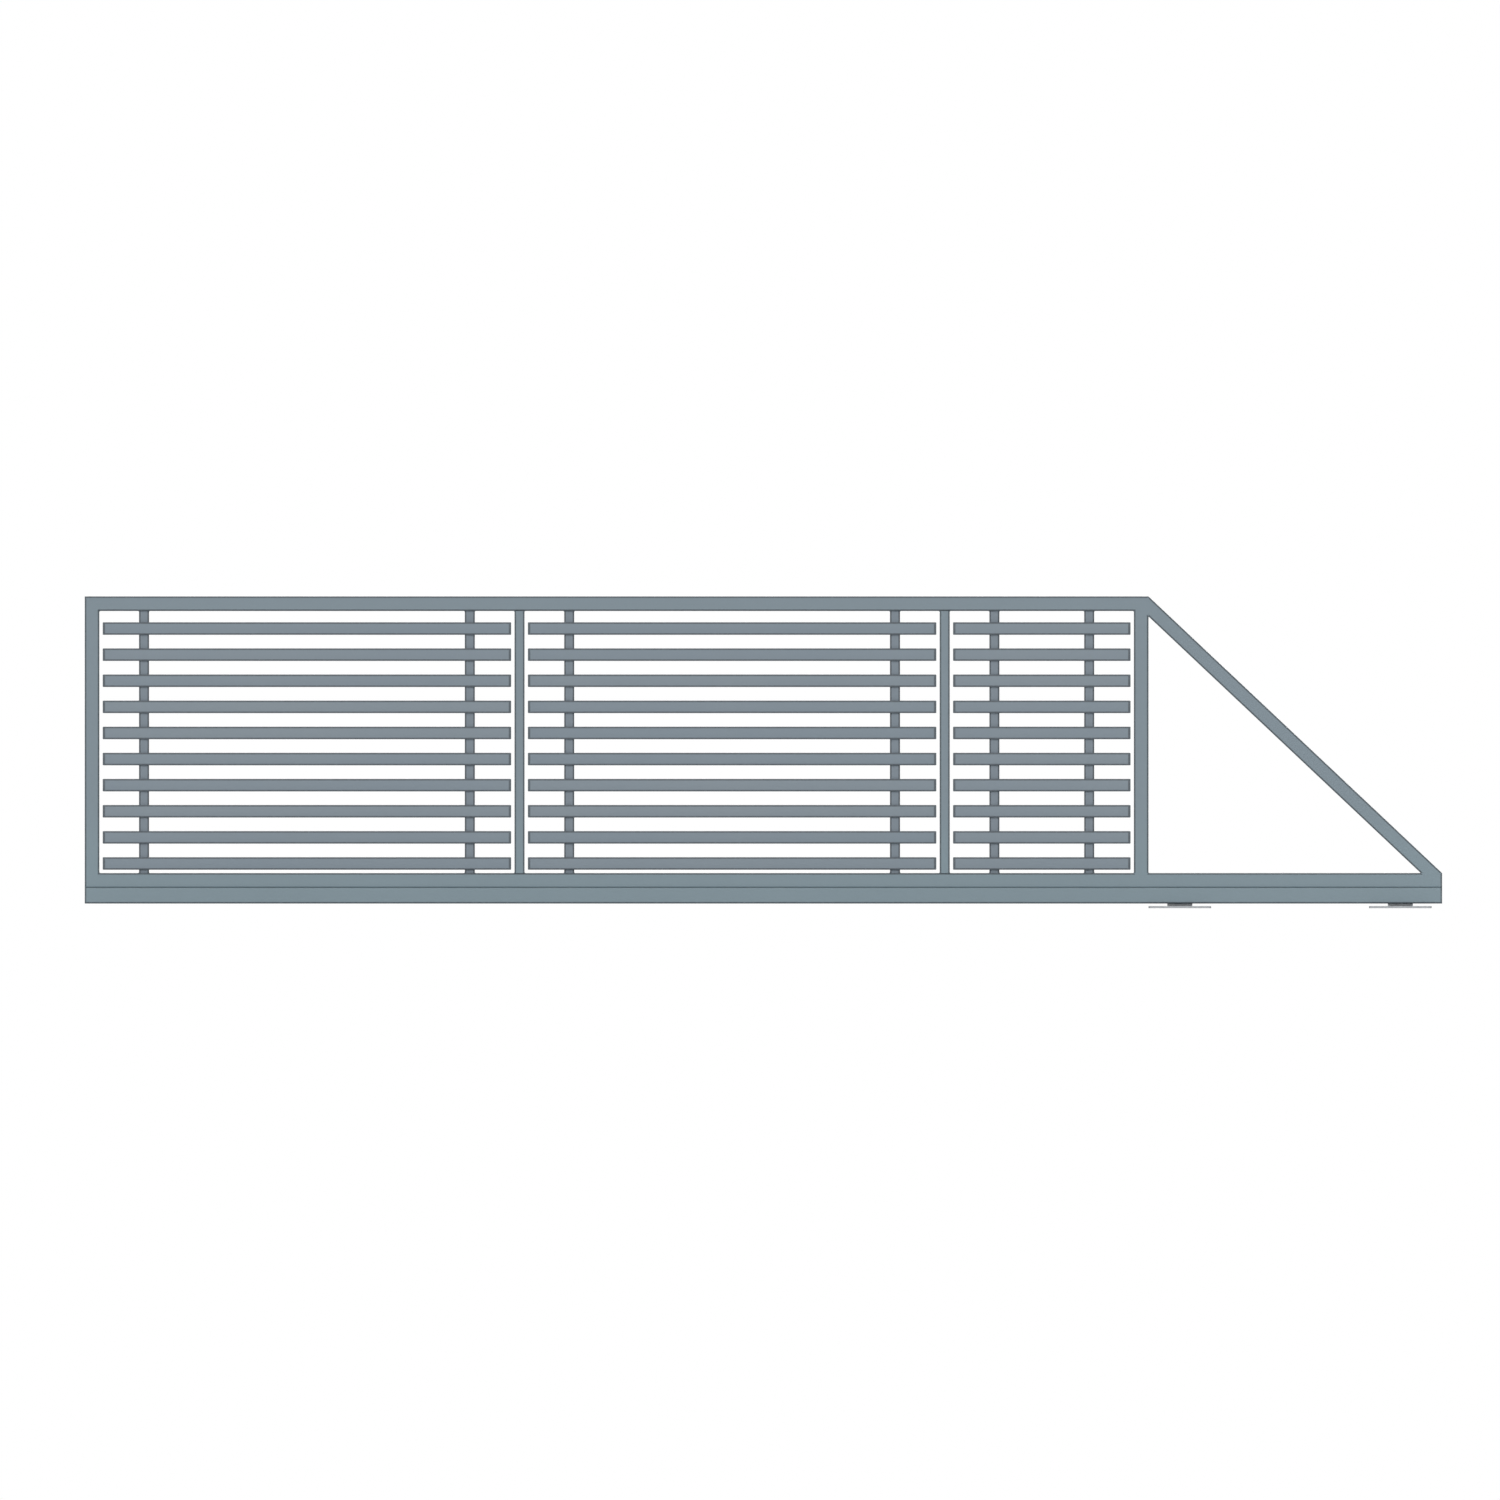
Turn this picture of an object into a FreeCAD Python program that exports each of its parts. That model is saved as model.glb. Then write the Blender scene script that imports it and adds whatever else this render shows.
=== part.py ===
"""Self-supporting sliding driveway gate: a welded tube leaf whose carrier rail runs over two carriages.

Frame: +X runs along the leaf towards its tail, -Y faces the street, +Z is up. The origin lies on the
ground under the middle of the front carriage. Lengths are in millimetres, and the leaf is closed.
"""

import FreeCAD, Part
import math
import os
from types import SimpleNamespace

import Sketcher

# Driving dimensions, one spreadsheet cell each.
SIZES = {
    # Bays of the leaf, between the upright members, and the counterweight tail behind them.
    "wide_bay": 1988,
    "narrow_bay": 882,
    "tail_length": 1406,
    # Rectangular tube of the outer frame and the tail brace.
    "frame_face": 70,
    "frame_depth": 50,
    "frame_wall": 4,
    # Tube between two bays, as deep as the frame.
    "post_face": 48,
    "post_wall": 3,
    # Horizontal slats, seen from the street, and the gaps above and below them.
    "slat_count": 10,
    "slat_face": 60,
    "slat_depth": 20,
    "slat_wall": 2,
    "slat_gap": 65,
    "slat_top_gap": 54,
    "slat_bottom_gap": 16,
    "slat_end_gap": 16,
    # Push-in plugs at the ends of the slats, and flush caps in the larger tubes.
    "plug_head": 4,
    "plug_taper": 20,
    "plug_insert": 15,
    "plug_clearance": 0.2,
    "cap_thickness": 6,
    # Upright tubes behind the slats, which carry them.
    "support_face": 48,
    "support_depth": 30,
    "support_wall": 3,
    "support_inset": 198,
    # Slotted carrier rail under the leaf.
    "carrier_width": 76,
    "carrier_height": 76,
    "carrier_wall": 4,
    "carrier_slot": 18,
    "ground_clearance": 22,
    # Roller carriages inside the carrier rail.
    "carriage_setback": 150,
    "rear_carriage_inset": 200,
    "base_length": 300,
    "base_width": 150,
    "base_thickness": 10,
    "base_corner": 10,
    "base_chamfer": 1.5,
    "anchor_width": 14,
    "anchor_length": 30,
    "anchor_end_margin": 35,
    "anchor_side_margin": 20,
    "web_thickness": 8,
    "web_margin": 36,
    "web_cover": 9,
    "neck_length": 120,
    "neck_fillet": 8,
    "roller_pitch": 100,
    "roller_play": 2,
    "roller_gap": 0.3,
    "roller_side_gap": 5,
    "roller_web_gap": 1,
    "roller_chamfer": 1.5,
    "roller_recess": 3,
    "roller_rim": 6,
    "roller_hub": 12,
    "axle_diameter": 14,
    "axle_clearance": 0.1,
    "axle_head": 2,
    "axle_head_diameter": 22,
    "axle_rivet": 3,
}

STREET_ROLLERS = 3
YARD_ROLLERS = 2
X_AXIS = FreeCAD.Vector(1, 0, 0)
Y_AXIS = FreeCAD.Vector(0, 1, 0)
Z_AXIS = FreeCAD.Vector(0, 0, 1)
START, END, CENTRE = range(1, 4)
ORIGIN_POINT = (-1, 1)
# How far a slanting cut runs on beyond the tube, as a share of the tube.
CUT_OVERRUN = 0.25
# How near a point lies to count as being in a place.
TOLERANCE = 1e-4


class Size:
    """A length that keeps its number and the spreadsheet expression behind it together."""

    def __init__(self, number, text):
        self.number = number
        self.text = text

    @staticmethod
    def of(value):
        return value if isinstance(value, Size) else Size(value, repr(value))

    def __add__(self, other):
        other = Size.of(other)
        return Size(self.number + other.number, f"({self.text} + {other.text})")

    def __sub__(self, other):
        other = Size.of(other)
        return Size(self.number - other.number, f"({self.text} - {other.text})")

    def __mul__(self, other):
        other = Size.of(other)
        return Size(self.number * other.number, f"({self.text} * {other.text})")

    def __truediv__(self, other):
        other = Size.of(other)
        return Size(self.number / other.number, f"({self.text} / {other.text})")

    def __neg__(self):
        return Size(-self.number, f"(-1 * {self.text})")

    __radd__ = __add__
    __rmul__ = __mul__


def square_root(size):
    return Size(math.sqrt(size.number), f"sqrt({size.text})")


def arc_tangent(size):
    """The angle, in degrees, whose tangent is the given ratio."""
    return Size(math.degrees(math.atan(size.number)), f"atan({size.text})")


doc = FreeCAD.newDocument("SlidingGate")
sheet = doc.addObject("Spreadsheet::Sheet", "Sizes")
for row, (alias, value) in enumerate(SIZES.items(), start=1):
    sheet.set(f"A{row}", alias)
    sheet.set(f"B{row}", str(value))
    sheet.setAlias(f"B{row}", alias)
doc.recompute()
s = SimpleNamespace(**{alias: Size(value, f"Sizes.{alias}") for alias, value in SIZES.items()})

# Heights above the ground.
carrier_top = s.ground_clearance + s.carrier_height
sill = carrier_top + s.frame_face
slat_pitch = s.slat_face + s.slat_gap
infill_height = s.slat_bottom_gap + slat_pitch * s.slat_count - s.slat_gap + s.slat_top_gap
head = sill + infill_height
leaf_top = head + s.frame_face
# Places along the leaf, measured from its leading end, and that end's place in the part's frame.
bays = (s.wide_bay, s.wide_bay, s.narrow_bay)
panel_length = s.frame_face * 2 + s.post_face * (len(bays) - 1) + bays[0] + bays[1] + bays[2]
leaf_length = panel_length + s.tail_length
leading_end = -(panel_length + s.carriage_setback)
panel_end = leading_end + panel_length
tail_end = leading_end + leaf_length
# Depths: the slats lie flush with the street face of the frame, and the supports close behind them.
street_face = -(s.frame_depth / 2)
slat_centre = street_face + s.slat_depth / 2
support_centre = street_face + s.slat_depth + s.support_depth / 2
# The channel in the carrier rail, and the rollers that fill it.
channel_height = s.carrier_height - s.carrier_wall * 2
channel_width = s.carrier_width - s.carrier_wall * 2
roller_radius = (channel_height - s.roller_play) / 2
axle_height = carrier_top - s.carrier_wall - s.roller_gap - roller_radius
roller_start = s.web_thickness / 2 + s.roller_web_gap
roller_end = channel_width / 2 - s.roller_side_gap - s.axle_head


def bind(item, name, size):
    """Ties one property of a document object to the spreadsheet."""
    item.setExpression(name, size.text)


def place(item, x, y, z, axis=None, angle=0):
    """Puts a sub-part at its place, turned about an axis by a fixed angle or one from the sheet."""
    angle = Size.of(angle)
    rotation = FreeCAD.Rotation(axis or Z_AXIS, angle.number)
    item.Placement = FreeCAD.Placement(FreeCAD.Vector(x.number, y.number, z.number), rotation)
    for name, size in (("x", x), ("y", y), ("z", z)):
        bind(item, f"Placement.Base.{name}", size)
    if angle.text != repr(angle.number):
        bind(item, "Placement.Rotation.Angle", angle)


def new_body(label):
    body = doc.addObject("PartDesign::Body", label)
    body.Label = label
    return body


def origin_feature(body, role):
    return next(item for item in body.Origin.OriginFeatures if item.Role == role)


def new_sketch(body, plane):
    sketch = body.newObject("Sketcher::SketchObject", f"{body.Name}_sketch")
    sketch.AttachmentSupport = [(origin_feature(body, plane), "")]
    sketch.MapMode = "FlatFace"
    return sketch


def dimension(sketch, kind, references, size):
    """Adds a dimension to a sketch and ties it to the spreadsheet."""
    index = sketch.addConstraint(Sketcher.Constraint(kind, *references, size.number))
    sketch.setExpression(f"Constraints[{index}]", size.text)


def polygon(sketch, points):
    """A closed outline of straight lines through points that are each dimensioned from the origin."""
    corners = [FreeCAD.Vector(x.number, y.number, 0) for x, y in points]
    lines = [
        sketch.addGeometry(Part.LineSegment(corner, corners[(index + 1) % len(corners)]), False)
        for index, corner in enumerate(corners)
    ]
    for index, line in enumerate(lines):
        following = lines[(index + 1) % len(lines)]
        sketch.addConstraint(Sketcher.Constraint("Coincident", line, END, following, START))
    for line, (x, y) in zip(lines, points):
        dimension(sketch, "DistanceX", (*ORIGIN_POINT, line, START), x)
        dimension(sketch, "DistanceY", (*ORIGIN_POINT, line, START), y)


def rectangle_points(left, right, bottom, top):
    return [(left, bottom), (right, bottom), (right, top), (left, top)]


def arc(sketch, x, y, radius, quarter, quarters=1):
    """An arc that starts at the given quarter turn and runs anticlockwise."""
    circle = Part.Circle(FreeCAD.Vector(x, y, 0), Z_AXIS, radius)
    start = quarter * math.pi / 2
    return sketch.addGeometry(Part.ArcOfCircle(circle, start, start + quarters * math.pi / 2), False)


def line(sketch, x1, y1, x2, y2):
    return sketch.addGeometry(Part.LineSegment(FreeCAD.Vector(x1, y1, 0), FreeCAD.Vector(x2, y2, 0)), False)


def rounded_rectangle(sketch, width, height, radius):
    """A rectangle centred on the origin, with its four corners rounded."""
    x, y, r = width.number / 2, height.number / 2, radius.number
    pieces = [
        line(sketch, -x + r, -y, x - r, -y),
        arc(sketch, x - r, -y + r, r, 3),
        line(sketch, x, -y + r, x, y - r),
        arc(sketch, x - r, y - r, r, 0),
        line(sketch, x - r, y, -x + r, y),
        arc(sketch, -x + r, y - r, r, 1),
        line(sketch, -x, y - r, -x, -y + r),
        arc(sketch, -x + r, -y + r, r, 2),
    ]
    bottom, first_arc, right, _, top, _, left, _ = pieces
    for index, piece in enumerate(pieces):
        following = pieces[(index + 1) % len(pieces)]
        sketch.addConstraint(Sketcher.Constraint("Tangent", piece, END, following, START))
    for level in (bottom, top):
        sketch.addConstraint(Sketcher.Constraint("Horizontal", level))
    for upright in (left, right):
        sketch.addConstraint(Sketcher.Constraint("Vertical", upright))
    for other_arc in pieces[3::2]:
        sketch.addConstraint(Sketcher.Constraint("Equal", first_arc, other_arc))
    sketch.addConstraint(Sketcher.Constraint("Symmetric", bottom, START, top, START, *ORIGIN_POINT))
    dimension(sketch, "DistanceX", (left, START, right, START), width)
    dimension(sketch, "DistanceY", (bottom, START, top, START), height)
    dimension(sketch, "Radius", (first_arc,), radius)


def long_hole(sketch, x, y, length, width):
    """A round-ended hole along the sketch's first axis, centred at a point."""
    reach = (length - width) / 2
    radius = width / 2
    left, right = x.number - reach.number, x.number + reach.number
    pieces = [
        line(sketch, left, y.number - radius.number, right, y.number - radius.number),
        arc(sketch, right, y.number, radius.number, 3, 2),
        line(sketch, right, y.number + radius.number, left, y.number + radius.number),
        arc(sketch, left, y.number, radius.number, 1, 2),
    ]
    lower, right_end, _, left_end = pieces
    for index, piece in enumerate(pieces):
        following = pieces[(index + 1) % len(pieces)]
        sketch.addConstraint(Sketcher.Constraint("Tangent", piece, END, following, START))
    sketch.addConstraint(Sketcher.Constraint("Equal", right_end, left_end))
    sketch.addConstraint(Sketcher.Constraint("Horizontal", lower))
    dimension(sketch, "DistanceX", (*ORIGIN_POINT, left_end, CENTRE), x - reach)
    dimension(sketch, "DistanceX", (*ORIGIN_POINT, right_end, CENTRE), x + reach)
    dimension(sketch, "DistanceY", (*ORIGIN_POINT, left_end, CENTRE), y)
    dimension(sketch, "Radius", (right_end,), width / 2)


def pad(body, sketch, length, reverse=False, symmetric=False, taper=None):
    feature = body.newObject("PartDesign::Pad", f"{body.Name}_pad")
    feature.Profile = sketch
    bind(feature, "Length", length)
    if taper:
        bind(feature, "TaperAngle", -taper)
    feature.Reversed = reverse
    feature.SideType = "Symmetric" if symmetric else "One side"
    sketch.Visibility = False
    return feature


def cut_through(body, sketch, reverse=False, symmetric=False):
    feature = body.newObject("PartDesign::Pocket", f"{body.Name}_pocket")
    feature.Profile = sketch
    feature.Type = "ThroughAll"
    feature.Reversed = reverse
    feature.SideType = "Symmetric" if symmetric else "One side"
    sketch.Visibility = False
    return feature


def pattern(body, features, axis, count, spacing):
    """Repeats features along one of the body's axes."""
    feature = body.newObject("PartDesign::LinearPattern", f"{body.Name}_pattern")
    feature.Originals = features
    feature.Direction = (origin_feature(body, axis), [""])
    feature.Mode = "Spacing"
    bind(feature, "Offset", spacing)
    bind(feature, "Occurrences", Size.of(count))
    body.Tip = feature


def tube_section(sketch, depth, face, wall):
    """Cold-formed hollow section: the radius outside is twice the wall, and inside it is the wall."""
    rounded_rectangle(sketch, depth, face, wall * 2)
    rounded_rectangle(sketch, depth - wall * 2, face - wall * 2, wall)


def mitre(body, corner, toward_end, face, run):
    """Cuts a tube's end on the slant, so that its lower side is shorter by the run at that end."""
    sign = 1 if toward_end else -1
    outer = corner + run * (sign * CUT_OVERRUN)
    inner = corner - run * (sign * (1 + CUT_OVERRUN))
    reach = face / 2 + face * CUT_OVERRUN
    sketch = new_sketch(body, "XZ_Plane")
    polygon(sketch, [(outer, reach), (outer, -reach), (inner, -reach)])
    cut_through(body, sketch, symmetric=True)


def tube(label, depth, face, wall, length, start_run=None, end_run=None):
    """A hollow section along the body's X axis, square or mitred at each end."""
    body = new_body(label)
    sketch = new_sketch(body, "YZ_Plane")
    tube_section(sketch, depth, face, wall)
    pad(body, sketch, length)
    if start_run:
        mitre(body, Size.of(0), False, face, start_run)
    if end_run:
        mitre(body, length, True, face, end_run)
    return body


def cap(label, depth, face, wall, thickness):
    """A flush cap that fills the inside of a hollow section, with a little clearance."""
    body = new_body(label)
    sketch = new_sketch(body, "YZ_Plane")
    inset = (wall + s.plug_clearance) * 2
    rounded_rectangle(sketch, depth - inset, face - inset, wall)
    pad(body, sketch, thickness)
    return body


def make_frame():
    """The outer frame: mitred at three corners, with the bottom rail running on under the tail."""
    zero = Size.of(0)
    half = s.frame_face / 2
    section = (s.frame_depth, s.frame_face, s.frame_wall)

    # Turned over, so that the mitre shortens its upper side.
    bottom_rail = tube("bottom_rail", *section, leaf_length, start_run=s.frame_face)
    place(bottom_rail, leading_end, zero, carrier_top + half, X_AXIS, 180)
    bottom_cap = cap("bottom_rail_cap", *section, s.cap_thickness)
    place(bottom_cap, tail_end - s.cap_thickness, zero, carrier_top + half)

    top_rail = tube("top_rail", *section, panel_length, start_run=s.frame_face, end_run=s.frame_face)
    place(top_rail, leading_end, zero, leaf_top - half)

    front_stile = tube(
        "front_stile", *section, leaf_top - carrier_top, start_run=s.frame_face, end_run=s.frame_face
    )
    place(front_stile, leading_end + half, zero, carrier_top, Y_AXIS, -90)
    rear_stile = tube("rear_stile", *section, leaf_top - sill, start_run=s.frame_face)
    place(rear_stile, panel_end - half, zero, leaf_top, Y_AXIS, 90)

    # The brace's upper edge runs from the panel's top corner to the end of the bottom rail.
    rise = leaf_top - sill
    length = square_root(s.tail_length * s.tail_length + rise * rise)
    brace = tube(
        "tail_brace",
        *section,
        length,
        start_run=s.frame_face * rise / s.tail_length,
        end_run=s.frame_face * s.tail_length / rise,
    )
    place(
        brace,
        panel_end - half * rise / length,
        zero,
        leaf_top - half * s.tail_length / length,
        Y_AXIS,
        arc_tangent(rise / s.tail_length),
    )


def make_carrier_rail():
    """The slotted carrier rail, and the caps that close its channel."""
    zero = Size.of(0)
    middle = s.ground_clearance + s.carrier_height / 2
    section = (s.carrier_width, s.carrier_height, s.carrier_wall)
    rail = tube("carrier_rail", *section, leaf_length)
    slot = new_sketch(rail, "YZ_Plane")
    underside = -(s.carrier_height / 2)
    half_slot = s.carrier_slot / 2
    polygon(
        slot,
        rectangle_points(
            -half_slot, half_slot, underside - s.carrier_wall / 2, underside + s.carrier_wall * 1.5
        ),
    )
    cut_through(rail, slot, reverse=True)
    place(rail, leading_end, zero, middle)
    for label, end in (
        ("carrier_front_cap", leading_end),
        ("carrier_rear_cap", tail_end - s.cap_thickness),
    ):
        place(cap(label, *section, s.cap_thickness), end, zero, middle)


def make_slats(number, left, width):
    """The slats of one bay, stacked at one pitch, with a plug of tapered head in each end."""
    length = width - s.slat_end_gap * 2 - s.plug_head * 2
    corner = (left + s.slat_end_gap + s.plug_head, slat_centre, sill + s.slat_bottom_gap + s.slat_face / 2)

    slats = new_body(f"slats_bay_{number}")
    section = new_sketch(slats, "YZ_Plane")
    tube_section(section, s.slat_depth, s.slat_face, s.slat_wall)
    slat = pad(slats, section, length)
    pattern(slats, [slat], "Z_Axis", s.slat_count, slat_pitch)
    place(slats, *corner)

    plugs = new_body(f"slat_plugs_bay_{number}")
    inset = (s.slat_wall + s.plug_clearance) * 2
    features = []
    for far_end in (False, True):
        for depth, face, radius, reach, inward, taper in (
            (s.slat_depth, s.slat_face, s.slat_wall * 2, s.plug_head, False, s.plug_taper),
            (s.slat_depth - inset, s.slat_face - inset, s.slat_wall, s.plug_insert, True, None),
        ):
            sketch = new_sketch(plugs, "YZ_Plane")
            rounded_rectangle(sketch, depth, face, radius)
            if far_end:
                bind(sketch, "AttachmentOffset.Base.z", length)
            features.append(pad(plugs, sketch, reach, reverse=far_end == inward, taper=taper))
    pattern(plugs, features, "Z_Axis", s.slat_count, slat_pitch)
    place(plugs, *corner)


def make_supports(number, left, width):
    """The two upright tubes that carry the slats of one bay."""
    reach = s.slat_end_gap + s.support_inset
    for side, middle in ((1, left + reach), (2, left + width - reach)):
        label = f"slat_support_{2 * (number - 1) + side}"
        upright = tube(label, s.support_depth, s.support_face, s.support_wall, infill_height)
        place(upright, middle, support_centre, sill, Y_AXIS, -90)


def make_panel():
    """The bays, from the leading end to the rear stile, with a post between two bays."""
    left = leading_end + s.frame_face
    for number, width in enumerate(bays, start=1):
        make_slats(number, left, width)
        make_supports(number, left, width)
        left = left + width
        if number < len(bays):
            post = tube(f"mid_post_{number}", s.frame_depth, s.post_face, s.post_wall, infill_height)
            place(post, left + s.post_face / 2, Size.of(0), sill, Y_AXIS, -90)
            left = left + s.post_face


def edges_where(feature, rule):
    """Names of those edges of a feature whose two ends both follow a rule."""
    doc.recompute()
    return [
        f"Edge{number}"
        for number, edge in enumerate(feature.Shape.Edges, start=1)
        if all(rule(vertex.Point) for vertex in edge.Vertexes)
    ]


def dress_edges(body, kind, feature, edges, amount):
    """Adds a chamfer or a fillet to edges of a feature, with its size tied to the spreadsheet."""
    dressed = body.newObject(f"PartDesign::{kind}", f"{body.Name}_{kind.lower()}")
    dressed.Base = (feature, edges)
    bind(dressed, "Radius" if kind == "Fillet" else "Size", amount)


def make_base(label):
    """The base plate of a carriage, with four long anchor holes and its upper rim chamfered."""
    body = new_body(label)
    outline = new_sketch(body, "XY_Plane")
    rounded_rectangle(outline, s.base_length, s.base_width, s.base_corner)
    pad(body, outline, s.base_thickness)
    holes = new_sketch(body, "XY_Plane")
    x = s.base_length / 2 - s.anchor_end_margin
    y = s.base_width / 2 - s.anchor_side_margin
    for x_side in (-1, 1):
        for y_side in (-1, 1):
            long_hole(holes, x * x_side, y * y_side, s.anchor_length, s.anchor_width)
    plate = cut_through(body, holes, reverse=True)
    long_side = (s.base_length / 2 - s.base_corner).number - TOLERANCE
    short_side = (s.base_width / 2 - s.base_corner).number - TOLERANCE
    top = s.base_thickness.number - TOLERANCE
    rim = edges_where(
        plate, lambda point: point.z > top and (abs(point.x) > long_side or abs(point.y) > short_side)
    )
    dress_edges(body, "Chamfer", plate, rim, s.base_chamfer)
    return body


def make_web(label):
    """The upright plate of a carriage: a beam for the axles, on a neck that passes the rail's slot."""
    body = new_body(label)
    beam = s.roller_pitch + s.web_margin
    neck = s.neck_length / 2
    cover = s.axle_diameter / 2 + s.web_cover
    foot = s.base_thickness
    low, high = axle_height - cover, axle_height + cover
    outline = new_sketch(body, "XZ_Plane")
    polygon(
        outline,
        [
            (-neck, foot),
            (neck, foot),
            (neck, low),
            (beam, low),
            (beam, high),
            (-beam, high),
            (-beam, low),
            (-neck, low),
        ],
    )
    for index in range(STREET_ROLLERS + YARD_ROLLERS):
        step = index - (STREET_ROLLERS + YARD_ROLLERS - 1) / 2
        x = s.roller_pitch * (step / 2)
        radius = s.axle_diameter / 2 + s.axle_clearance
        middle = FreeCAD.Vector(x.number, axle_height.number, 0)
        hole = outline.addGeometry(Part.Circle(middle, Z_AXIS, radius.number), False)
        dimension(outline, "DistanceX", (*ORIGIN_POINT, hole, CENTRE), x)
        dimension(outline, "DistanceY", (*ORIGIN_POINT, hole, CENTRE), axle_height)
        dimension(outline, "Radius", (hole,), radius)
    plate = pad(body, outline, s.web_thickness, symmetric=True)
    shoulders = edges_where(
        plate,
        lambda point: abs(point.z - low.number) < TOLERANCE and abs(abs(point.x) - neck.number) < TOLERANCE,
    )
    dress_edges(body, "Fillet", plate, shoulders, s.neck_fillet)
    return body


def turned_row(label, points, count):
    """Like turned pieces in a row along X: each is revolved about the body's Y axis."""
    body = new_body(label)
    sketch = new_sketch(body, "XY_Plane")
    polygon(sketch, points)
    turned = body.newObject("PartDesign::Revolution", f"{label}_turned")
    turned.Profile = sketch
    turned.ReferenceAxis = (origin_feature(body, "Y_Axis"), [""])
    turned.Angle = 360
    sketch.Visibility = False
    pattern(body, [turned], "X_Axis", count, s.roller_pitch)
    return body


def roller_points():
    """Half section of a roller: chamfered tread, and a hub inside a recess in the outer face."""
    bore = s.axle_diameter / 2 + s.axle_clearance
    edge = roller_radius - s.roller_chamfer
    rim = roller_radius - s.roller_rim
    floor = roller_end - s.roller_recess
    return [
        (bore, roller_start),
        (edge, roller_start),
        (roller_radius, roller_start + s.roller_chamfer),
        (roller_radius, roller_end - s.roller_chamfer),
        (edge, roller_end),
        (rim, roller_end),
        (rim, floor),
        (s.roller_hub, floor),
        (s.roller_hub, roller_end),
        (bore, roller_end),
    ]


def axle_points():
    """Half section of an axle: a flat head outside the roller, and a riveted end behind the web."""
    zero = Size.of(0)
    shank = s.axle_diameter / 2
    collar = s.axle_head_diameter / 2
    web_back = -(s.web_thickness / 2)
    return [
        (zero, web_back - s.axle_rivet),
        (collar, web_back - s.axle_rivet),
        (collar, web_back),
        (shank, web_back),
        (shank, roller_end + s.axle_clearance),
        (collar, roller_end + s.axle_clearance),
        (collar, roller_end + s.axle_head),
        (zero, roller_end + s.axle_head),
    ]


def make_carriage(name, x):
    """One roller carriage: rollers on both sides of the web, staggered by half a pitch."""
    zero = Size.of(0)
    place(make_base(f"{name}_base"), x, zero, zero)
    place(make_web(f"{name}_web"), x, zero, zero)
    for piece, points in (("rollers", roller_points()), ("axles", axle_points())):
        # Turned half round, the row on the street side runs back towards the leading end.
        street = turned_row(f"{name}_street_{piece}", points, STREET_ROLLERS)
        place(street, x + s.roller_pitch, zero, axle_height, Z_AXIS, 180)
        yard = turned_row(f"{name}_yard_{piece}", points, YARD_ROLLERS)
        place(yard, x - s.roller_pitch / 2, zero, axle_height)


def export_parts():
    """Checks every object, then writes one STEP file for each sub-part."""
    failed = [item.Label for item in doc.Objects if "Invalid" in item.State or "Error" in item.State]
    bodies = [item for item in doc.Objects if item.TypeId == "PartDesign::Body"]
    failed += [body.Label for body in bodies if body.Shape.isNull() or not body.Shape.isValid()]
    if failed:
        raise RuntimeError(f"these objects failed: {failed}")
    os.makedirs("parts", exist_ok=True)
    for body in bodies:
        body.Shape.exportStep(os.path.join("parts", f"{body.Label}.step"))
        print(f"{body.Label}: {len(body.Shape.Solids)} solids, {body.Shape.Volume / 1000:.1f} cm3")


make_carrier_rail()
make_frame()
make_panel()
make_carriage("front_carriage", Size.of(0))
make_carriage("rear_carriage", s.tail_length - s.carriage_setback - s.rear_carriage_inset)
doc.recompute()
export_parts()
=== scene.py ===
"""Dresses the sliding driveway gate: its coats, slats, plugs, screws and welds, and the studio around it."""

import logging
import math
from collections.abc import Iterable, Mapping
from dataclasses import dataclass, field
from enum import Enum
from typing import Any

import bmesh
import bpy
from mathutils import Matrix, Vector


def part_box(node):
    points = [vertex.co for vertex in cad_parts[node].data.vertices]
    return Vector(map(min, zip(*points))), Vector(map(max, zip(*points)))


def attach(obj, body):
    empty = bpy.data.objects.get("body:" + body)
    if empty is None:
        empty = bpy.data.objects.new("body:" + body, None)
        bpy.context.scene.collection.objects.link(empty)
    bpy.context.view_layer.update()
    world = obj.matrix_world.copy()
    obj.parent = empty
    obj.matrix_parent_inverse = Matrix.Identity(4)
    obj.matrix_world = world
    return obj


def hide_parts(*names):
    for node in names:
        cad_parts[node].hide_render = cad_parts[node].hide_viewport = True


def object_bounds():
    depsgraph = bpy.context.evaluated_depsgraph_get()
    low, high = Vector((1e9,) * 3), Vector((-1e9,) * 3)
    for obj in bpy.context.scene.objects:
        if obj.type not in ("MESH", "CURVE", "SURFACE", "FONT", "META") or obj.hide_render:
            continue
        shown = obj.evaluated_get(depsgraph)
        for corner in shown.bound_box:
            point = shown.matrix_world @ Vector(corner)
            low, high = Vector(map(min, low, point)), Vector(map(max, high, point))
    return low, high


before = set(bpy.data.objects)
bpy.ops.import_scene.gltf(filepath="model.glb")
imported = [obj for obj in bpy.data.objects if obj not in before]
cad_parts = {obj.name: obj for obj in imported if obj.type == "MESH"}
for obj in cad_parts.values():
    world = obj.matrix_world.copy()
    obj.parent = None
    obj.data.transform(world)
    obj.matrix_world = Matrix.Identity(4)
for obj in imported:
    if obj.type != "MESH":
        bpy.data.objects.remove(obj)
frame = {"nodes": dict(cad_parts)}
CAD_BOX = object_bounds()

LOG = logging.getLogger("gate")
Colour = tuple[float, float, float]
Box = tuple[Vector, Vector]


class Body(Enum):
    """The bodies that move against each other."""

    LEAF = "leaf"
    CARRIAGES = "carriages"


class Slot(Enum):
    """The record's material slots that the scene's own pieces belong to."""

    FRAME = "frame_coat"
    SLAT = "slat_coat"
    ZINC = "zinc_steel"


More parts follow.
